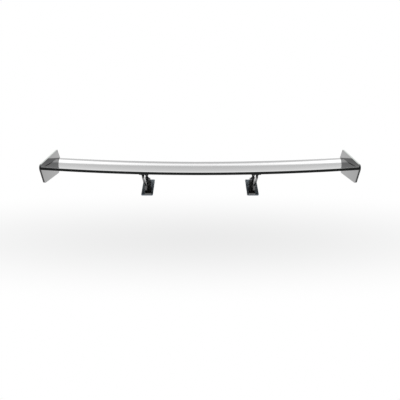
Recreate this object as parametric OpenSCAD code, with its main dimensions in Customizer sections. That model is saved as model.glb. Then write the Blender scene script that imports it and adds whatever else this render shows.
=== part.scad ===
// Racing rear wing on two low uprights. X is the span, +Y points to the front of the car, +Z is up.
// The origin lies on the mid plane, at the underside of the stands, amid their corner bolt holes.

/* [Wing] */
// Span between the inner faces of the end plates
wing_w = 1434; // [1000:1:1700]
// Chord from the trailing edge to the nose
chord = 287; // [230:1:350]
// Height of the blunt trailing edge
te_t = 12; // [9:0.5:16]
// Height of the trailing edge's top corner at mid span
te_z = 168; // [150:1:210]
// Distance from the origin back to the trailing edge
te_back = 119; // [100:1:150]
// Rise of the wing from mid span to its ends
bow = 28.5; // [0:0.5:40]
// Nose-down pitch at mid span
pitch_mid = 21.4; // [10:0.1:25]
// Nose-down pitch at the ends
pitch_end = 22.4; // [10:0.1:25]
// Drop of the nose below the chord line
nose_drop = 9; // [6:0.5:12]
// Swell of each surface away from the camber line
swell = 12; // [9:0.5:16]
// Depth of the camber
camber_depth = 11.5; // [6:0.5:14]
// Extra fullness of the upper surface towards the nose
nose_full = 14; // [0:1:18]
// Wall of the moulded skins
skin_t = 2.5; // [1.5:0.1:3]

/* [Inside the wing] */
// Width of the spar tube along the chord
spar_w = 40; // [25:1:50]
// Height of the spar tube
spar_h = 19; // [14:0.5:20]
// Wall of the spar tube
spar_wall = 2; // [1.5:0.5:3]
// Chord position of the spar's centre
spar_at = 190; // [170:1:200]
// Depth of the spar's centre below the chord line
spar_drop = 17.6; // [15:0.1:20]
// Length of the trailing core along the chord
core_l = 24; // [12:1:30]
// Width of each mount rib along the span
rib_w = 44; // [36:1:60]
// Chord position of the mount rib's rear face
rib_from = 48; // [40:1:60]
// Chord position of the mount rib's front face
rib_to = 166; // [150:1:168]
// Thickness of the end ribs along the span
end_rib_t = 16; // [12:1:24]

/* [End plates] */
// Thickness of the end plates
plate_t = 8; // [4:0.5:10]
// Overhang of the plate behind the trailing edge
plate_back = 8; // [2:0.5:20]
// Overhang of the plate ahead of the nose
plate_ahead = 3; // [1:0.5:20]
// Rise of the plate above the trailing edge
plate_rise_rear = 13; // [5:0.5:30]
// Rise of the plate above the nose
plate_rise_front = 60; // [30:1:90]
// Drop of the plate below the trailing edge
plate_drop_rear = 89; // [60:1:120]
// Drop of the plate below the nose
plate_drop_front = 48; // [30:1:70]
// Distance from the nose back to the plate's lower front corner
plate_cut = 58; // [20:1:90]

/* [Stands] */
// Distance from the mid plane to the middle of each upright's web
stand_x = 262.5; // [200:0.5:400]
// Thickness of the upright's web
web_t = 10; // [8:0.5:14]
// Length of the base plates
base_l = 132; // [126:1:180]
// Width of the base plates
base_w = 57; // [50:1:80]
// Shift of the base plates from the web towards the mid plane
base_shift = 5; // [0:0.5:8]
// Shift of the base plates' middle behind the origin
base_back = 2.5; // [0:0.5:5]
// Thickness of the base plates
base_t = 3; // [2:0.5:6]
// Thickness of the rubber gaskets
gasket_t = 1.5; // [1:0.5:3]
// Corner radius of the base plates
base_r = 6; // [3:1:10]
// Height of the upright's foot flange
foot_h = 10; // [8:0.5:14]
// Width of the foot flange at its rear end
foot_w_rear = 32; // [28:1:36]
// Width of the foot flange at its front end
foot_w_front = 16; // [14:1:24]
// Width of the upright's rear arm
arm_w = 14; // [12:1:18]

/* [Angle adjustment] */
// Chord position of the pivot
pivot_at = 27; // [24:1:32]
// Drop of the pivot below the wing's underside
pivot_drop = 11.6; // [11:0.1:15]
// Chord position of the clamp bolts
clamp_at = 163; // [150:1:170]
// Drop of the clamp bolts below the wing's underside
clamp_drop = 41; // [30:1:45]
// Adjustment each way
swing = 3.5; // [1:0.5:4]
// Outer radius of the lugs and of the arm's head
lug_r = 9; // [8:0.5:10]
// Thickness of the bracket's flange
flange_t = 3; // [2:0.5:4]

/* [Fasteners] */
// Thread diameter of the pivot and clamp bolts
bolt_d = 8; // [6:1:8]
// Diameter of the mounting bolt holes in the stands
mount_hole_d = 5.5; // [4.5:0.5:7]
// Pitch of the mounting bolt holes along the stands
mount_pitch = 54; // [48:1:56]
// Thread diameter of the foot, bracket and end-plate screws
screw_d = 5; // [4:1:6]
// Outer diameter of the threaded inserts
insert_d = 8; // [7:0.5:9]
// Length of the threaded inserts
insert_l = 8; // [6:0.5:9]

/* [Clearances] */
// Gap between the bonded inner pieces and the skins
bond_gap = 0.5; // [0.3:0.1:1]
// Gap between the bracket's rear lug and the arm's shoulder
shoulder_gap = 3; // [1:0.5:5]
// Running clearance of the pivot, radial
pivot_gap = 0.08; // [0.03:0.01:0.1]
// Gap between faces of the wing and of the uprights
face_gap = 0.3; // [0.2:0.05:0.5]
// Clearance of the clamp bolt at the sides of its slot
slot_gap = 0.2; // [0.1:0.05:0.4]
// Radial clearance of screws in plain holes
hole_gap = 0.25; // [0.15:0.05:0.5]

/* [Hidden] */
$fn = 64;

BLACK = "#16181a";
GREY = "#5a6470";
METAL = "#b9bcc0";
RUBBER = "#242424";

eps = 0.01;
through = 1;                  // how far a cutter runs past the face that it opens
half_w = wing_w / 2;
spans = 12;                   // straight facets of a skin along the span
steps = 16;                   // facets of each surface along the chord
base_z = gasket_t + base_t;   // top of the base plates
foot_z = base_z + foot_h;     // top of the foot flange
lap = web_t / 2;              // the upright and the bracket each take half the web where they join
web_in = stand_x - lap;
web_out = stand_x + lap;
rib_span = [stand_x - rib_w / 2, stand_x + rib_w / 2];
stations = [for (i = [0:spans]) -half_w + wing_w * i / spans];

// ---- wing section: angle 0 is the trailing edge's top corner, 90 the nose, 180 the bottom corner

function camber(s) = -te_t / 2 * (1 - s) - nose_drop * s - camber_depth * 4 * s * (1 - s);
swell_peak = pow(0.6875, 1.1) * sqrt(0.3125);
function section(th) =
    let (s = sin(th), side = th <= 90 ? 1 : -1)
    [chord * s,
     camber(s) + side * te_t / 2 * (1 - s)
     + (swell / swell_peak * pow(s, 1.1) + max(side, 0) * nose_full * pow(s, 4)) * sqrt(2) * sin((90 - th) / 2)];
function outward(th) =
    let (t = section(min(th + 0.5, 180)) - section(max(th - 0.5, 0)))
    [-t.y, t.x] / norm(t);
function inset(th, d) = section(th) - d * outward(th);

// Section angle on the underside at a chord position
function under(u) = 180 - asin(u / chord);

function rise(x) = bow * pow(x / half_w, 2);
function pitch(x) = pitch_mid + (pitch_end - pitch_mid) * pow(x / half_w, 2);
function place(x, p) =
    let (a = pitch(x))
    [x, p.x * cos(a) + p.y * sin(a) - te_back, te_z + rise(x) - p.x * sin(a) + p.y * cos(a)];
function side_view(x, p) = let (q = place(x, p)) [q.y, q.z];

// Solid that joins one section outline, placed at each of the stations xs
module loft(outline, xs) {
    n = len(outline);
    last = (len(xs) - 1) * n;
    points = [for (x = xs) for (p = outline) place(x, p)];
    sides = [for (i = [0:len(xs) - 2]) for (j = [0:n - 1])
             let (k = (j + 1) % n)
             each [[i * n + j, i * n + k, (i + 1) * n + k], [i * n + j, (i + 1) * n + k, (i + 1) * n + j]]];
    caps = [[for (j = [n - 1:-1:0]) j], [for (j = [0:n - 1]) last + j]];
    polyhedron(points, concat(sides, caps), convexity = 6);
}

// Outline of one skin between two section angles, with its half of the trailing edge
function skin_outline(from, to) =
    let (upper = to <= 90, inner_end = asin(skin_t / chord), mid = -te_t / 2)
    upper
    ? concat([[0, mid]], [for (i = [0:steps]) section(from + (to - from) * i / steps)],
             [for (i = [steps:-1:1]) inset(from + (to - from) * i / steps, skin_t)],
             [[skin_t, inset(inner_end, skin_t).y], [skin_t, mid]])
    : concat([for (i = [0:steps]) section(from + (to - from) * i / steps)], [[0, mid], [skin_t, mid]],
             [[skin_t, inset(180 - inner_end, skin_t).y]],
             [for (i = [steps - 1:-1:0]) inset(from + (to - from) * i / steps, skin_t)]);

// Outline of a filler inside the skins between two chord positions
function filler_outline(from, to, cuts = 6) =
    let (d = skin_t + bond_gap)
    concat([for (i = [0:cuts]) inset(asin((from + (to - from) * i / cuts) / chord), d)],
           [for (i = [cuts:-1:0]) inset(under(from + (to - from) * i / cuts), d)]);

// ---- places of the fasteners

screw_rows = [75, 145];                     // chord positions of the bracket screws
screw_cols = [-12.5, 12.5];                 // their places on either side of the web
end_rows = [60, 135, 225];                  // chord positions of the end-plate screws
foot_rows = [-0.38, 0, 0.34] * base_l;      // places of the foot screws along the base

// Puts its children on the underside with +Z pointing into the wing
module on_underside(x, u) {
    a = pitch(x);
    n = outward(under(u));
    translate(place(x, section(under(u))))
        rotate([atan2(n.x * cos(a) + n.y * sin(a), n.x * sin(a) - n.y * cos(a)), 0, 0]) children();
}

// Puts its children at every bracket screw of the right-hand side
module at_bracket_screws()
    for (u = screw_rows, c = screw_cols) on_underside(stand_x + c, u) children();

// Puts its children at every end-plate screw of the right-hand side, +Z pointing outwards
module at_end_screws()
    for (u = end_rows)
        translate(place(half_w, (section(asin(u / chord)) + section(under(u))) / 2))
            rotate([0, 90, 0]) children();

module both_sides() {
    children();
    mirror([1, 0, 0]) children();
}

// Cylinder along X that starts at x, seen from the side at p
module rod_x(x, p, d, l) translate([x, p.x, p.y]) rotate([0, 90, 0]) cylinder(d = d, h = l);

// Slab along X from x, with a side-view outline
module slab_x(x, t) translate([x, 0, 0]) rotate([90, 0, 90]) linear_extrude(t) children();

// ---- wing

module upper_skin() color(BLACK) loft(skin_outline(0, 90), stations);

module lower_skin() color(BLACK) difference() {
    loft(skin_outline(90, 180), stations);
    both_sides() at_bracket_screws()
        translate([0, 0, -through]) cylinder(d = screw_d + 2 * hole_gap, h = skin_t + 2 * through);
}

module main_spar() color(METAL) difference() {
    xs = [for (x = stations) x * (half_w - end_rib_t - bond_gap) / half_w];
    bore = [for (x = xs) x * (half_w + through) / half_w];
    loft(box_outline(spar_w, spar_h), xs);
    loft(box_outline(spar_w - 2 * spar_wall, spar_h - 2 * spar_wall), bore);
}

// Rectangle about the spar's centre
function box_outline(w, h) =
    [for (c = [[-1, 1], [1, 1], [1, -1], [-1, -1]]) [spar_at + c.x * w / 2, -spar_drop + c.y * h / 2]];

module trailing_core() color("#c9b68c") {
    xs = [for (x = stations) x * (half_w - end_rib_t - bond_gap) / half_w];
    loft(filler_outline(skin_t + bond_gap, skin_t + bond_gap + core_l, 4), xs);
}

module mount_rib() color(METAL) difference() {
    loft(filler_outline(rib_from, rib_to), rib_span);
    at_bracket_screws() translate([0, 0, -through]) cylinder(d = insert_d, h = insert_top + through);
}
insert_top = skin_t + 2 * bond_gap + insert_l;

module end_rib() color("#c9b68c") difference() {
    loft(filler_outline(skin_t + bond_gap, chord - 12, 10), [half_w - end_rib_t, half_w]);
    at_end_screws() translate([0, 0, -insert_l]) cylinder(d = insert_d, h = insert_l + through);
}

// ---- end plates

te_corner = side_view(half_w, section(0));
nose = side_view(half_w, section(90));
plate_corners = [
    [te_corner.x - plate_back, te_corner.y + plate_rise_rear, 18],
    [te_corner.x - plate_back + 10, te_corner.y - plate_drop_rear, 16],
    [nose.x - plate_cut, nose.y - plate_drop_front, 7],
    [nose.x + plate_ahead, nose.y + 4, 6],
    [nose.x + plate_ahead - 13, nose.y + plate_rise_front, 3]];

// Outline through corners given as [x, y, radius], each rounded by an arc of straight cuts
function rounded(corners, cuts = 6) =
    let (n = len(corners))
    [for (i = [0:n - 1])
     let (c = [corners[i].x, corners[i].y],
          a = [corners[(i + n - 1) % n].x, corners[(i + n - 1) % n].y] - c,
          b = [corners[(i + 1) % n].x, corners[(i + 1) % n].y] - c,
          ua = a / norm(a), ub = b / norm(b),
          half = acos(ua * ub) / 2,
          r = corners[i].z,
          centre = c + (ua + ub) / norm(ua + ub) * r / sin(half),
          from = c + ua * r / tan(half) - centre,
          turn = cross(from, c + ub * r / tan(half) - centre) > 0 ? 1 : -1)
     for (k = [0:cuts])
     let (t = turn * (180 - 2 * half) * k / cuts)
     centre + [from.x * cos(t) - from.y * sin(t), from.x * sin(t) + from.y * cos(t)]];

head_d = 2 * screw_d;
module countersunk(l) {
    translate([0, 0, -l]) cylinder(d = screw_d, h = l);
    translate([0, 0, -(head_d - screw_d) / 2]) cylinder(d1 = screw_d, d2 = head_d, h = (head_d - screw_d) / 2);
}

module end_plate() color(BLACK) difference() {
    slab_x(half_w, plate_t) polygon(rounded(plate_corners));
    at_end_screws() translate([0, 0, plate_t]) {
        translate([0, 0, -plate_t - through]) cylinder(d = screw_d + 2 * hole_gap, h = plate_t + 2 * through);
        translate([0, 0, -(head_d - screw_d) / 2 - hole_gap])
            cylinder(d1 = screw_d, d2 = head_d + 2 * hole_gap, h = (head_d - screw_d) / 2 + hole_gap);
    }
}

// ---- brackets and angle adjustment

pivot = side_view(stand_x, section(under(pivot_at))) - [0, pivot_drop];
clamp = side_view(stand_x, section(under(clamp_at))) - [0, clamp_drop];
slot_r = norm(clamp - pivot);
clamp_dir = atan2(clamp.y - pivot.y, clamp.x - pivot.x);
lug_strip = 6;                              // depth of the bracket's web between its lugs
lug_to = rib_to + 12;                       // chord position where the bracket's web ends
lug_from = stand_x + face_gap / 2;          // inner face of the bracket's web
sunk_d = 15;                                // sunk seat of the pivot bolt's head
sunk_h = 2.2;

// Band that the clamp bolt sweeps about the pivot, wider than its path by r all round
module sweep_band(x, t, r) {
    translate([x, pivot.x, pivot.y]) rotate([90, 0, 90])
        rotate_extrude(angle = 2 * swing, start = clamp_dir - swing, $fn = 256)
            translate([slot_r - r, 0]) square([2 * r, t]);
    for (s = [-swing, swing])
        rod_x(x, pivot + slot_r * [cos(clamp_dir + s), sin(clamp_dir + s)], 2 * r, t);
}

// Point on the underside, moved outwards by d, in side view
function below(u, d) =
    side_view(stand_x, section(under(u)) + d * outward(under(u)));

module bracket_web() {
    from = pivot_at - lug_r + 1;
    rows = 8;
    to = lug_to;
    polygon(concat([for (i = [0:rows]) below(from + (to - from) * i / rows, 0.2)],
                   [for (i = [rows:-1:0]) below(from + (to - from) * i / rows, lug_strip)]));
    translate(pivot) circle(r = lug_r);
    polygon([pivot + [-lug_r, 0], pivot + [lug_r, 0], below(pivot_at + lug_r, 0.2), below(pivot_at - lug_r + 1, 0.2)]);
    translate(clamp) circle(r = lug_r);
    polygon([clamp + lug_r * [-0.97, 0.24], clamp + lug_r * [0.97, 0.24],
             below(lug_to, lug_strip), below(lug_to - 40, lug_strip)]);
}

module bracket_flange() {
    from = rib_from;
    to = rib_to + 4;
    rows = 6;
    loft(concat([for (i = [0:rows]) section(under(from + (to - from) * i / rows))],
                [for (i = [rows:-1:0])
                 let (th = under(from + (to - from) * i / rows)) section(th) + flange_t * outward(th)]),
         [rib_span[0], stand_x, rib_span[1]]);
}

module wing_bracket() color(BLACK) difference() {
    union() {
        slab_x(lug_from, web_out - lug_from) bracket_web();
        bracket_flange();
    }
    at_bracket_screws() translate([0, 0, -flange_t - through])
        cylinder(d = screw_d + 2 * hole_gap, h = flange_t + 2 * through);
    rod_x(lug_from - through, pivot, bolt_d + 2 * pivot_gap, web_t);
    rod_x(web_out - sunk_h, pivot, sunk_d, sunk_h + through);
    rod_x(lug_from - through, clamp, bolt_d, web_t);
}

module bracket_screw() {
    translate([0, 0, -flange_t - 2.6]) cylinder(d = screw_d + 4.5, h = 2.6);
    translate([0, 0, -flange_t]) cylinder(d = screw_d, h = flange_t + insert_top);
}

module insert() difference() {
    cylinder(d = insert_d, h = insert_l);
    translate([0, 0, -through]) cylinder(d = screw_d, h = insert_l + 2 * through);
}

washer_t = 1.2;
nut_h = 4;
head_h = 5;
module clamp_bolt() {
    tail = web_in - face_gap - washer_t - nut_h - 1;
    rod_x(tail, clamp, bolt_d, web_out - tail);
    difference() {
        rod_x(web_out, clamp, 13, head_h);
        translate([web_out + head_h - 2.5, clamp.x, clamp.y])
            rotate([0, 90, 0]) cylinder(d = 5.8, h = 2.5 + through, $fn = 6);
    }
}

module clamp_washer() difference() {
    rod_x(web_in - face_gap - washer_t, clamp, 16, washer_t);
    rod_x(web_in - face_gap - washer_t - through, clamp, bolt_d, washer_t + 2 * through);
}

module clamp_nut() difference() {
    translate([web_in - face_gap - washer_t - nut_h, clamp.x, clamp.y])
        rotate([0, 90, 0]) cylinder(d = 15, h = nut_h, $fn = 6);
    rod_x(web_in - face_gap - washer_t - nut_h - through, clamp, bolt_d, nut_h + 2 * through);
}

module pivot_bolt() difference() {
    union() {
        rod_x(web_in, pivot, bolt_d, web_out - sunk_h + face_gap / 2 - web_in);
        rod_x(web_out - sunk_h + face_gap / 2, pivot, sunk_d - 1, sunk_h - face_gap / 2);
    }
    translate([web_out - 1.6, pivot.x, pivot.y])
        rotate([0, 90, 0]) cylinder(d = 5.8, h = 1.6 + through, $fn = 6);
}

// ---- stands

base_from = -base_back - base_l / 2;
base_to = -base_back + base_l / 2;
base_mid_x = stand_x - base_shift;
inner_hole_x = base_mid_x - base_w / 2 + 12;
outer_hole_x = base_mid_x + base_w / 2 - 7.5;
mount_holes = [[inner_hole_x, -mount_pitch], [inner_hole_x, 0], [inner_hole_x, mount_pitch],
               [outer_hole_x, mount_pitch]];

module base_outline() difference() {
    polygon(rounded([for (c = [[-1, -1], [1, -1], [1, 1], [-1, 1]])
                     [base_mid_x + c.x * base_w / 2, -base_back + c.y * base_l / 2, base_r]]));
    for (h = mount_holes) translate(h) circle(d = mount_hole_d);
}

// Puts its children under the foot at each foot screw, +Z pointing down
module at_foot_screws()
    for (y = foot_rows) translate([stand_x, y - base_back, gasket_t]) rotate([180, 0, 0]) children();

module base_gasket() color(RUBBER) linear_extrude(gasket_t) difference() {
    base_outline();
    for (y = foot_rows) translate([stand_x, y - base_back]) circle(d = head_d + 1);
}

module base_plate() color(GREY) difference() {
    translate([0, 0, gasket_t]) linear_extrude(base_t) base_outline();
    at_foot_screws() {
        translate([0, 0, -base_t - through]) cylinder(d = screw_d + 2 * hole_gap, h = base_t + 2 * through);
        translate([0, 0, -(head_d - screw_d) / 2]) cylinder(d1 = screw_d, d2 = head_d, h = (head_d - screw_d) / 2);
    }
}

// Bezier curve of straight cuts
function bezier(a, b, c, d, cuts = 14) =
    [for (i = [0:cuts]) let (t = i / cuts, s = 1 - t)
     s * s * s * a + 3 * s * s * t * b + 3 * s * t * t * c + t * t * t * d];

module foot_flange() translate([0, 0, base_z]) linear_extrude(foot_h) difference() {
    polygon([[web_out, base_from], [web_out - foot_w_rear, base_from],
             [web_out - foot_w_rear, base_from + 26], [web_out - foot_w_front, base_to - 8],
             [web_out - foot_w_front, base_to], [web_out, base_to]]);
    translate(mount_holes[0]) circle(d = mount_hole_d);
}

arm_aim = [base_from + 25, foot_z + 12];    // the arm runs from its head towards this point
arm_dir = (arm_aim - pivot) / norm(arm_aim - pivot);
clamp_low = pivot + slot_r * [cos(clamp_dir - swing), sin(clamp_dir - swing)];

// Side view of the upright's web, without the head and the tongue
module web_outline() {
    heel = [base_from + 6, foot_z];
    neck = (lug_r - 0.3) * [arm_dir.y, -arm_dir.x];
    across = arm_w * [0.94, 0.34];
    bottom = foot_z + 4;
    knee = [base_from + 18, foot_z + 51];
    rear = bezier(heel + [9, 0], knee, arm_aim, pivot + neck);
    front = bezier(pivot - neck, arm_aim + across, knee + across, [base_from + 44, bottom]);
    up = [-sin(clamp_dir), cos(clamp_dir)];
    side = [cos(clamp_dir), sin(clamp_dir)];
    top = pivot + slot_r * [cos(clamp_dir + swing), sin(clamp_dir + swing)];
    // arm
    polygon(concat([heel], rear, front, [[base_from + 44, base_z], [base_from + 6, base_z]]));
    // rail and front leg
    polygon([[base_from + 42, base_z], [base_from + 42, bottom], [clamp.x - 12, bottom],
             clamp - (lug_r - 0.5) * side - 4 * up, top + (lug_r - 0.5) * side,
             clamp + [lug_r + 14, -18], [base_to - 6, foot_z], [base_to - 6, base_z]]);
}

module upright() color(BLACK) difference() {
    union() {
        slab_x(web_in, web_t) {
            web_outline();
            translate(pivot) circle(r = lug_r);
        }
        sweep_band(web_in, web_t, lug_r - 0.5);
        foot_flange();
    }
    // half lap for the bracket's lugs, with a straight shoulder across the arm and across the leg
    slab_x(stand_x - face_gap / 2, lap + through) {
        translate(pivot) rotate(atan2(arm_dir.y, arm_dir.x))
            translate([-2 * lug_r, -2 * lug_r]) square([3 * lug_r + shoulder_gap, 4 * lug_r]);
        translate([clamp_low.x - 2 * lug_r, clamp_low.y - lug_r - face_gap]) square(7 * lug_r);
    }
    // pivot thread and clamp slot
    rod_x(web_in - through, pivot, bolt_d, web_t);
    sweep_band(web_in - through, web_t, bolt_d / 2 + slot_gap);
    at_foot_screws() translate([0, 0, -base_t - foot_h + 1]) cylinder(d = screw_d, h = base_t + foot_h);
}

module foot_screw() countersunk(base_t + foot_h - 2);

// ---- nodes

module left() mirror([1, 0, 0]) children();

upper_skin();
lower_skin();
main_spar();
trailing_core();
left() mount_rib();  // mount_rib_left
mount_rib();  // mount_rib_right
left() end_rib();  // end_rib_left
end_rib();  // end_rib_right
left() end_plate();  // end_plate_left
end_plate();  // end_plate_right
color(METAL) both_sides() at_end_screws() translate([0, 0, plate_t]) countersunk(plate_t + insert_l - 1);  // end_plate_screws
color(METAL) both_sides() at_end_screws() translate([0, 0, -insert_l]) insert();  // end_rib_inserts
left() wing_bracket();  // wing_bracket_left
wing_bracket();  // wing_bracket_right
color(METAL) both_sides() at_bracket_screws() bracket_screw();  // bracket_screws
color(METAL) both_sides() at_bracket_screws() translate([0, 0, insert_top - insert_l]) insert();  // mount_rib_inserts
color(METAL) both_sides() clamp_bolt();  // clamp_bolts
color(METAL) both_sides() clamp_washer();  // clamp_washers
color(METAL) both_sides() clamp_nut();  // clamp_nuts
color(METAL) both_sides() pivot_bolt();  // pivot_bolts
left() upright();  // upright_left
upright();  // upright_right
left() base_plate();  // base_plate_left
base_plate();  // base_plate_right
left() base_gasket();  // base_gasket_left
base_gasket();  // base_gasket_right
color(METAL) both_sides() at_foot_screws() foot_screw();  // foot_screws
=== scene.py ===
"""A gloss black rear wing on two adjustable uprights, on a white light table.

X runs along the span, +Y points to the front of the car and +Z is up, all in metres.
"""

import math
import bpy
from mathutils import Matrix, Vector


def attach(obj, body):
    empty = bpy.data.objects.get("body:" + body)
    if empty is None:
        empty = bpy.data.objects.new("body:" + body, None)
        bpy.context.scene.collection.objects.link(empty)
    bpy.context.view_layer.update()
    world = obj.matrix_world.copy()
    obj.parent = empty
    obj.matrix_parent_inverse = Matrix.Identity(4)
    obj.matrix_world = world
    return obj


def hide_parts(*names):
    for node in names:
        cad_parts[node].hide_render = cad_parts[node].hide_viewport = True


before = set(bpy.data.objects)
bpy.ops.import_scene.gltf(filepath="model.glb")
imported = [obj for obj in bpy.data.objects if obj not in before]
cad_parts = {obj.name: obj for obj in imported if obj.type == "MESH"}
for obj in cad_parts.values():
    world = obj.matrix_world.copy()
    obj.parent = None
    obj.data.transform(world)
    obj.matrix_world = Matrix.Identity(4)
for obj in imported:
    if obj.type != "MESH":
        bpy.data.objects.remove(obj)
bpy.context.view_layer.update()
scene = bpy.context.scene
scene.view_settings.view_transform = "Standard"
MM = 0.001

# --- camera: behind the wing on its middle plane, looking down at it -------------------

eye = bpy.data.cameras.new("studio_camera")
eye.lens, eye.sensor_width = 40.5, 36.0
eye.clip_end = 60
camera = bpy.data.objects.new("studio_camera", eye)
scene.collection.objects.link(camera)
camera.location = (0, -1.8228, 1.3063)
camera.rotation_euler = (math.radians(52.77), 0, 0)
scene.camera = camera

# --- sizes of the real wing, in millimetres --------------------------------------------

HALF_SPAN = 717.0        # to the inner face of each end plate
CHORD = 287.0
EDGE = 12.0              # height of the blunt trailing edge
EDGE_BACK = 119.0        # from the middle of the bolt pattern back to the trailing edge
EDGE_UP = 168.0          # top corner of the trailing edge at mid span
BOW = 28.5               # the tips stand this much higher than the middle
PITCH_MID, PITCH_TIP = 21.4, 22.4
NOSE_DROP, SWELL, CAMBER, NOSE_FULL = 9.0, 12.0, 11.5, 14.0
SKIN = 2.5


# --- mesh helpers ----------------------------------------------------------------------

def clear_selection():
    if bpy.context.object and bpy.context.object.mode != "OBJECT":
        bpy.ops.object.mode_set(mode="OBJECT")
    bpy.ops.object.select_all(action="DESELECT")


def take(piece):
    clear_selection()
    piece.select_set(True)
    bpy.context.view_layer.objects.active = piece
    return piece


def name_active(name):
    piece = bpy.context.object
    piece.name = piece.data.name = name
    return piece


def settle(piece):
    """Moves a piece's place and turn into its mesh."""
    take(piece)
    bpy.ops.object.transform_apply(location=True, rotation=True, scale=True)
    return piece


def use_modifier(piece, kind, **settings):
    take(piece)
    mod = piece.modifiers.new(kind.lower(), kind)
    for key, value in settings.items():
        setattr(mod, key, value)
    bpy.ops.object.modifier_apply(modifier=mod.name)
    return piece


def finish_edges(piece, width=0.5, segments=2, angle=30):
    """Breaks the sharp edges, then shades the faces so that the flats stay flat."""
    if width:
        use_modifier(piece, "BEVEL", width=width * MM, segments=segments, limit_method="ANGLE",
                     angle_limit=math.radians(angle), use_clamp_overlap=True)
    take(piece)
    bpy.ops.object.shade_smooth_by_angle(angle=math.radians(40))
    use_modifier(piece, "WEIGHTED_NORMAL", keep_sharp=True, weight=80)
    return piece


def draw_outline(name, points):
    """Draws a closed outline edge by edge, from a plane shrunk to one corner, and fills it."""
    clear_selection()
    first = Vector(points[0]) * MM
    bpy.ops.mesh.primitive_plane_add(size=MM, location=first)
    piece = settle(name_active(name))
    bpy.ops.object.mode_set(mode="EDIT")
    bpy.ops.mesh.select_all(action="SELECT")
    bpy.ops.mesh.merge(type="CENTER")
    bpy.ops.mesh.select_mode(type="VERT")
    for a, b in zip(points, points[1:]):
        step = (Vector(b) - Vector(a)) * MM
        bpy.ops.mesh.extrude_region_move(TRANSFORM_OT_translate={"value": step})
    bpy.ops.mesh.select_all(action="SELECT")
    bpy.ops.mesh.edge_face_add()
    return piece


def pull(value):
    bpy.ops.mesh.extrude_region_move(TRANSFORM_OT_translate={"value": Vector(value) * MM})


def close_up(piece):
    bpy.ops.mesh.select_all(action="SELECT")
    bpy.ops.mesh.normals_make_consistent(inside=False)
    bpy.ops.object.mode_set(mode="OBJECT")
    return piece


def rounded(corners, cuts=8):
    """Corners as (a, b, radius), each turned into an arc."""
    out = []
    for i, (a, b, r) in enumerate(corners):
        here = Vector((a, b))
        back = (Vector(corners[i - 1][:2]) - here).normalized()
        on = (Vector(corners[(i + 1) % len(corners)][:2]) - here).normalized()
        if r == 0:
            out.append(here)
            continue
        half = back.angle(on) / 2
        centre = here + (back + on).normalized() * r / math.sin(half)
        start = here + back * r / math.tan(half) - centre
        end = here + on * r / math.tan(half) - centre
        turn = math.copysign(math.pi - 2 * half, start.x * end.y - start.y * end.x)
        for k in range(cuts + 1):
            t = turn * k / cuts
            out.append(centre + Vector((start.x * math.cos(t) - start.y * math.sin(t),
                                        start.x * math.sin(t) + start.y * math.cos(t))))
    return out


# --- materials -------------------------------------------------------------------------

def colour(text):
    """An sRGB hex colour as linear light."""
    parts = [int(text[i:i + 2], 16) / 255 for i in (1, 3, 5)]
    return [p / 12.92 if p <= 0.04045 else ((p + 0.055) / 1.055) ** 2.4 for p in parts] + [1.0]


def add_node(tree, kind, links=None, **settings):
    """Adds one node. Plain settings are its properties or input values, links are (node, output)."""
    node = tree.nodes.new(kind)
    for key, value in settings.items():
        if hasattr(node, key):
            setattr(node, key, value)
        else:
            node.inputs[key.replace("_", " ")].default_value = value
    for key, (source, output) in (links or {}).items():
        tree.links.new(source.outputs[output], node.inputs[key])
    return node


def blend_colours(tree, source, output, dark, light):
    """A colour that runs from dark to light as a node's output runs from 0 to 1."""
    mix = add_node(tree, "ShaderNodeMix", {"Factor": (source, output)}, data_type="RGBA")
    mix.inputs[6].default_value, mix.inputs[7].default_value = colour(dark), colour(light)
    return mix


def new_material(name):
    made = bpy.data.materials.new(name)
    made.use_nodes = True
    made.node_tree.nodes.clear()
    return made, made.node_tree


def finish_material(tree, links, normal=None, **settings):
    if normal:
        links["Normal"] = (normal, "Normal")
    shader = add_node(tree, "ShaderNodeBsdfPrincipled", links, **settings)
    add_node(tree, "ShaderNodeOutputMaterial", {"Surface": (shader, "BSDF")})


def lacquered_composite():
    """Black gel coat under polished clear lacquer: deep black, mirror-like, with faint orange
    peel of about 9 mm and polishing haze that wanders over a hand's width."""
    made, tree = new_material("black_lacquered_composite")
    place = add_node(tree, "ShaderNodeTexCoord")
    haze = add_node(tree, "ShaderNodeTexNoise", {"Vector": (place, "Object")}, Scale=9.0, Detail=3.0)
    rough = add_node(tree, "ShaderNodeMapRange", {"Value": (haze, "Fac")},
                     To_Min=0.03, To_Max=0.065)
    tint = blend_colours(tree, haze, "Fac", "#07080a", "#0d0f12")
    peel = add_node(tree, "ShaderNodeTexNoise", {"Vector": (place, "Object")}, Scale=110.0, Detail=1.5)
    bump = add_node(tree, "ShaderNodeBump", {"Height": (peel, "Fac")}, Strength=0.06, Distance=0.0005)
    finish_material(tree, {"Base Color": (tint, 2), "Roughness": (rough, "Result")}, bump, IOR=1.5)
    return made


def anodised_black():
    """Aluminium plate, bead blasted and anodised black: a dark satin with a fine even grit."""
    made, tree = new_material("black_anodised_aluminium")
    place = add_node(tree, "ShaderNodeTexCoord")
    grit = add_node(tree, "ShaderNodeTexNoise", {"Vector": (place, "Object")}, Scale=1400.0, Detail=2.0)
    cloud = add_node(tree, "ShaderNodeTexNoise", {"Vector": (place, "Object")}, Scale=40.0, Detail=3.0)
    rough = add_node(tree, "ShaderNodeMapRange", {"Value": (cloud, "Fac")}, To_Min=0.22, To_Max=0.34)
    tint = blend_colours(tree, cloud, "Fac", "#0a0b0c", "#121315")
    bump = add_node(tree, "ShaderNodeBump", {"Height": (grit, "Fac")}, Strength=0.12, Distance=0.0001)
    finish_material(tree, {"Base Color": (tint, 2), "Roughness": (rough, "Result")}, bump, IOR=1.6)
    return made


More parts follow.
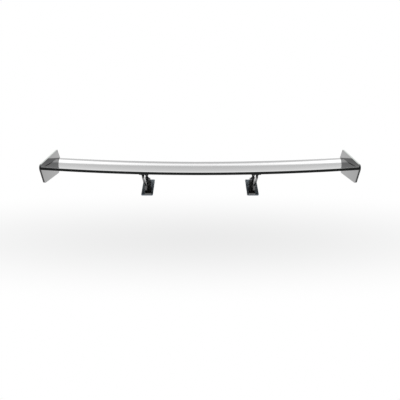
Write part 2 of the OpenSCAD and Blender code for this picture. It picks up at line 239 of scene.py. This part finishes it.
def anodised_grey():
    """Aluminium sheet, brushed along its length and anodised slate grey."""
    made, tree = new_material("slate_anodised_aluminium")
    place = add_node(tree, "ShaderNodeTexCoord")
    along = add_node(tree, "ShaderNodeMapping", {"Vector": (place, "Object")}, Scale=(2500, 60, 2500))
    brush = add_node(tree, "ShaderNodeTexNoise", {"Vector": (along, "Vector")}, Scale=1.0, Detail=2.0)
    rough = add_node(tree, "ShaderNodeMapRange", {"Value": (brush, "Fac")}, To_Min=0.22, To_Max=0.36)
    tint = blend_colours(tree, brush, "Fac", "#6b7680", "#75808b")
    bump = add_node(tree, "ShaderNodeBump", {"Height": (brush, "Fac")}, Strength=0.15, Distance=0.00005)
    finish_material(tree, {"Base Color": (tint, 2), "Roughness": (rough, "Result")}, bump, Metallic=0.15)
    return made


def cut_rubber():
    """Black neoprene sheet: dull, with fine grain."""
    made, tree = new_material("black_neoprene")
    place = add_node(tree, "ShaderNodeTexCoord")
    grain = add_node(tree, "ShaderNodeTexNoise", {"Vector": (place, "Object")}, Scale=900.0, Detail=3.0)
    rough = add_node(tree, "ShaderNodeMapRange", {"Value": (grain, "Fac")}, To_Min=0.6, To_Max=0.85)
    bump = add_node(tree, "ShaderNodeBump", {"Height": (grain, "Fac")}, Strength=0.3, Distance=0.0001)
    finish_material(tree, {"Roughness": (rough, "Result")}, bump, Base_Color=colour("#131313"), IOR=1.5)
    return made


def fastener_steel(name, dark, light, low, high):
    """Turned steel with a thin finish: fine cloudy variation of its shine."""
    made, tree = new_material(name)
    place = add_node(tree, "ShaderNodeTexCoord")
    cloud = add_node(tree, "ShaderNodeTexNoise", {"Vector": (place, "Object")}, Scale=300.0, Detail=3.0)
    rough = add_node(tree, "ShaderNodeMapRange", {"Value": (cloud, "Fac")}, To_Min=low, To_Max=high)
    tint = blend_colours(tree, cloud, "Fac", dark, light)
    finish_material(tree, {"Base Color": (tint, 2), "Roughness": (rough, "Result")}, Metallic=1.0)
    return made


def cast_filler():
    """Closed-cell foam and resin filler inside the wing: pale tan, matt and slightly mottled."""
    made, tree = new_material("resin_filled_foam")
    place = add_node(tree, "ShaderNodeTexCoord")
    cells = add_node(tree, "ShaderNodeTexVoronoi", {"Vector": (place, "Object")}, Scale=700.0)
    tint = blend_colours(tree, cells, "Distance", "#c8b27c", "#a58f60")
    bump = add_node(tree, "ShaderNodeBump", {"Height": (cells, "Distance")}, Strength=0.3, Distance=0.0003)
    finish_material(tree, {"Base Color": (tint, 2)}, bump, Roughness=0.8, IOR=1.45)
    return made


lacquer = lacquered_composite()
black_aluminium = anodised_black()
grey_aluminium = anodised_grey()
rubber = cut_rubber()
black_oxide = fastener_steel("black_oxide_steel", "#1d1d20", "#2b2b2f", 0.28, 0.42)
zinc = fastener_steel("bright_zinc_steel", "#8f9196", "#b4b6bb", 0.22, 0.38)
brass = fastener_steel("turned_brass", "#b08a45", "#c9a55c", 0.2, 0.35)
mill_tube = fastener_steel("drawn_aluminium_tube", "#b9bbc0", "#cfd1d5", 0.25, 0.4)
filler = cast_filler()


def wear(piece, material):
    piece.data.materials.clear()
    piece.data.materials.append(material)
    return piece


# --- the wing's section ----------------------------------------------------------------
# Angle 0 is the trailing edge's top corner, 90 the nose and 180 the bottom corner.

SWELL_PEAK = 0.6875 ** 1.1 * math.sqrt(0.3125)


def section(angle):
    s = math.sin(math.radians(angle))
    side = 1 if angle <= 90 else -1
    camber = -EDGE / 2 * (1 - s) - NOSE_DROP * s - CAMBER * 4 * s * (1 - s)
    full = SWELL / SWELL_PEAK * s ** 1.1 + max(side, 0) * NOSE_FULL * s ** 4
    bulge = full * math.sqrt(2) * math.sin(math.radians((90 - angle) / 2))
    return Vector((CHORD * s, camber + side * EDGE / 2 * (1 - s) + bulge))


def inset(angle, depth):
    along = section(min(angle + 0.5, 180)) - section(max(angle - 0.5, 0))
    along.normalize()
    return section(angle) - depth * Vector((-along.y, along.x))


def skin_outline(upper, steps=44, inner_steps=18):
    """Section of one skin. Its half of the trailing edge ends in a small rounded lip at the seam."""
    middle = -EDGE / 2
    lip = 0.25
    if upper:
        lean = math.degrees(math.asin(SKIN / CHORD))
        outer = [section(90 * (i / steps) ** 0.9) for i in range(1, steps + 1)]
        inner = [inset(90 * i / inner_steps, SKIN) for i in range(inner_steps, 0, -1)]
        corners = [(0, middle + lip, 0.5), (0, 0, 1.2)] + [(p.x, p.y, 0) for p in outer + inner]
        corners += [(SKIN, inset(lean, SKIN).y, 0), (SKIN, middle + lip, 0)]
    else:
        lean = 180 - math.degrees(math.asin(SKIN / CHORD))
        outer = [section(180 - 90 * (i / steps) ** 0.9) for i in range(steps, 0, -1)]
        inner = [inset(180 - 90 * i / inner_steps, SKIN) for i in range(1, inner_steps + 1)]
        corners = [(p.x, p.y, 0) for p in outer] + [(0, 2 * middle, 1.2), (0, middle - lip, 0.5)]
        corners += [(SKIN, middle - lip, 0), (SKIN, inset(lean, SKIN).y, 0)]
        corners += [(p.x, p.y, 0) for p in inner]
    return rounded(corners, cuts=4)


def loft_skin(name, upper, spans=48):
    """Draws the section at the left tip, then pulls it along the span, lifting and turning it
    a little at every step."""
    def rise(x):
        return BOW * (x / HALF_SPAN) ** 2

    def pitch(x):
        return PITCH_MID + (PITCH_TIP - PITCH_MID) * (x / HALF_SPAN) ** 2

    x = -HALF_SPAN
    start = Vector((x, -EDGE_BACK, EDGE_UP + rise(x)))
    piece = draw_outline(name, [start + Vector((0, p.x, p.y)) for p in skin_outline(upper)])
    bpy.ops.mesh.select_all(action="SELECT")
    turn_section(start, pitch(x))
    step = 2 * HALF_SPAN / spans
    for i in range(spans):
        here = x + step
        pull((step, 0, rise(here) - rise(x)))
        turn_section((here, -EDGE_BACK, EDGE_UP + rise(here)), pitch(here) - pitch(x))
        x = here
    close_up(piece)
    take(piece)
    bpy.ops.object.shade_smooth_by_angle(angle=math.radians(35))
    return piece


def turn_section(at, degrees):
    """Tips the selected section nose down about the trailing edge's corner."""
    bpy.ops.transform.rotate(value=math.radians(degrees), orient_axis="X",
                             center_override=Vector(at) * MM)


upper = loft_skin("wing_upper_skin", True)
lower = loft_skin("wing_lower_skin", False)

# --- studio: a white light table that glows brighter ahead of the wing ------------------

def light_table():
    """White to the eye, with a soft elliptical shadow painted onto it behind the wing. What it
    throws onto the wing follows the lamps under it, from behind to far ahead."""
    made, tree = new_material("white_light_table")
    place = add_node(tree, "ShaderNodeTexCoord")
    split = add_node(tree, "ShaderNodeSeparateXYZ", {"Vector": (place, "Object")})
    # glow thrown onto the wing, by the distance in metres ahead of the origin
    ahead = add_node(tree, "ShaderNodeMapRange", {"Value": (split, "Y")},
                     From_Min=GLOW[0][0], From_Max=GLOW[-1][0])
    lamps = add_node(tree, "ShaderNodeValToRGB", {"Fac": (ahead, "Result")})
    ramp = lamps.color_ramp
    for y, level in GLOW:
        at = (y - GLOW[0][0]) / (GLOW[-1][0] - GLOW[0][0])
        stop = ramp.elements[0] if y == GLOW[0][0] else ramp.elements.new(at)
        stop.position, stop.color = at, (level / TOP_GLOW, level / TOP_GLOW, level / TOP_GLOW, 1)
    ramp.elements.remove(ramp.elements[len(ramp.elements) - 1])   # the ramp's own white end stop
    thrown = add_node(tree, "ShaderNodeEmission", {"Color": (lamps, "Color")}, Strength=TOP_GLOW)
    # what the eye sees: white, with a painted elliptical shadow behind the wing that no lamp casts
    moved = add_node(tree, "ShaderNodeMapping", {"Vector": (place, "Object")},
                     Location=(0, PAINTED_SHADOW_Y / PAINTED_SHADOW_DEEP, 0), Scale=(1 / PAINTED_SHADOW_WIDE, 1 / PAINTED_SHADOW_DEEP, 0))
    away = add_node(tree, "ShaderNodeVectorMath", {0: (moved, "Vector")}, operation="LENGTH")
    painted_shadow_fade = add_node(tree, "ShaderNodeMapRange", {"Value": (away, "Value")},
                    interpolation_type="SMOOTHSTEP", From_Min=0.0, From_Max=1.0,
                    To_Min=PAINTED_SHADOW_LEVEL, To_Max=1.0)
    seen = add_node(tree, "ShaderNodeEmission", {"Strength": (painted_shadow_fade, "Result")})
    path = add_node(tree, "ShaderNodeLightPath")
    both = add_node(tree, "ShaderNodeMixShader", {"Fac": (path, "Is Camera Ray")})
    tree.links.new(thrown.outputs[0], both.inputs[1])
    tree.links.new(seen.outputs[0], both.inputs[2])
    add_node(tree, "ShaderNodeOutputMaterial", {"Surface": (both, "Shader")})
    return made


# places ahead of the origin in metres, and the strength of the glow there
GLOW = ((-1.0, 0.95), (-0.28, 1.25), (-0.12, 2.1), (0.33, 2.0), (0.42, 1.44), (0.6, 1.54), (0.9, 1.65),
        (1.1, 1.64), (1.2, 1.76), (1.5, 4.0))
TOP_GLOW = 4.0           # the ramp's colours are shares of this strength
# painted shadow: distance behind the origin, half depth, half width (in metres) and darkest level
PAINTED_SHADOW_Y, PAINTED_SHADOW_DEEP, PAINTED_SHADOW_WIDE, PAINTED_SHADOW_LEVEL = 0.385, 0.36, 1.9, 0.835

clear_selection()
bpy.ops.mesh.primitive_plane_add(size=40)
table = name_active("light_table")
table.data.materials.append(light_table())

sky = bpy.data.worlds.new("studio_tent")
scene.world = sky
sky.use_nodes = True
air = sky.node_tree
air.nodes.clear()
way = add_node(air, "ShaderNodeTexCoord")
parts = add_node(air, "ShaderNodeSeparateXYZ", {"Vector": (way, "Generated")})
front = add_node(air, "ShaderNodeMapRange", {"Value": (parts, "Y")}, From_Min=-0.3, From_Max=0.2,
                 To_Min=0.25, To_Max=3.0)
tent = colour("#fafffb")
back_drop = add_node(air, "ShaderNodeBackground", {"Strength": (front, "Result")}, Color=tent)
seen = add_node(air, "ShaderNodeBackground", Color=(1, 1, 1, 1), Strength=1.0)
path = add_node(air, "ShaderNodeLightPath")
choose = add_node(air, "ShaderNodeMixShader", {"Fac": (path, "Is Camera Ray")})
air.links.new(back_drop.outputs[0], choose.inputs[1])
air.links.new(seen.outputs[0], choose.inputs[2])
add_node(air, "ShaderNodeOutputWorld", {"Surface": (choose, "Shader")})

for piece, node_name in ((upper, "upper_skin"), (lower, "lower_skin")):
    wear(piece, lacquer)
    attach(piece, "wing")
    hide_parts(node_name)

# --- machined pieces: the modelled solids with their edges broken ------------------------

SAME_PLACE = 0.00001     # corners nearer than this, in metres, are one corner
FLAT_WITHIN = 0.5        # faces that meet within this many degrees are one flat


def machined(node_name, material, body, width, segments=2):
    """A copy of a solid whose flats are made whole again and whose sharp edges are broken."""
    take(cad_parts[node_name])
    bpy.ops.object.duplicate()
    piece = name_active(node_name + "_finished")
    bpy.ops.object.mode_set(mode="EDIT")
    bpy.ops.mesh.select_all(action="SELECT")
    bpy.ops.mesh.remove_doubles(threshold=SAME_PLACE)
    bpy.ops.mesh.dissolve_limited(angle_limit=math.radians(FLAT_WITHIN), delimit={"NORMAL"})
    bpy.ops.mesh.select_all(action="SELECT")
    bpy.ops.mesh.normals_make_consistent(inside=False)
    bpy.ops.object.mode_set(mode="OBJECT")
    finish_edges(piece, width, segments)
    wear(piece, material)
    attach(piece, body)
    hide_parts(node_name)
    return piece


# piece: material, slot, body that carries it, broken edge in mm
MACHINED = {
    "end_plate": (lacquer, "plate", "wing", 0.8),
    "wing_bracket": (black_aluminium, "black_aluminium", "wing", 0.35),
    "upright": (black_aluminium, "black_aluminium", "stands", 0.4),
    "base_plate": (grey_aluminium, "grey_aluminium", "stands", 0.3),
    "base_gasket": (rubber, "gasket", "stands", 0.15),
}
for node_name, (material, slot, body, width) in MACHINED.items():
    for side in ("left", "right"):
        machined(node_name + "_" + side, material, body, width)
for node_name, material, slot, body in (
        ("end_plate_screws", black_oxide, "black_steel", "wing"),
        ("bracket_screws", black_oxide, "black_steel", "wing"),
        ("clamp_bolts", black_oxide, "black_steel", "wing"),
        ("clamp_washers", zinc, "zinc_steel", "wing"),
        ("clamp_nuts", zinc, "zinc_steel", "wing"),
        ("pivot_bolts", black_oxide, "black_steel", "stands")):
    machined(node_name, material, body, 0.2)

# --- pieces inside the wing and under the stands keep their modelled shape --------------

for node_name, material in (
        ("end_rib_inserts", brass), ("mount_rib_inserts", brass), ("main_spar", mill_tube),
        ("trailing_core", filler), ("mount_rib_left", filler), ("mount_rib_right", filler),
        ("end_rib_left", filler), ("end_rib_right", filler), ("foot_screws", black_oxide)):
    wear(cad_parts[node_name], material)
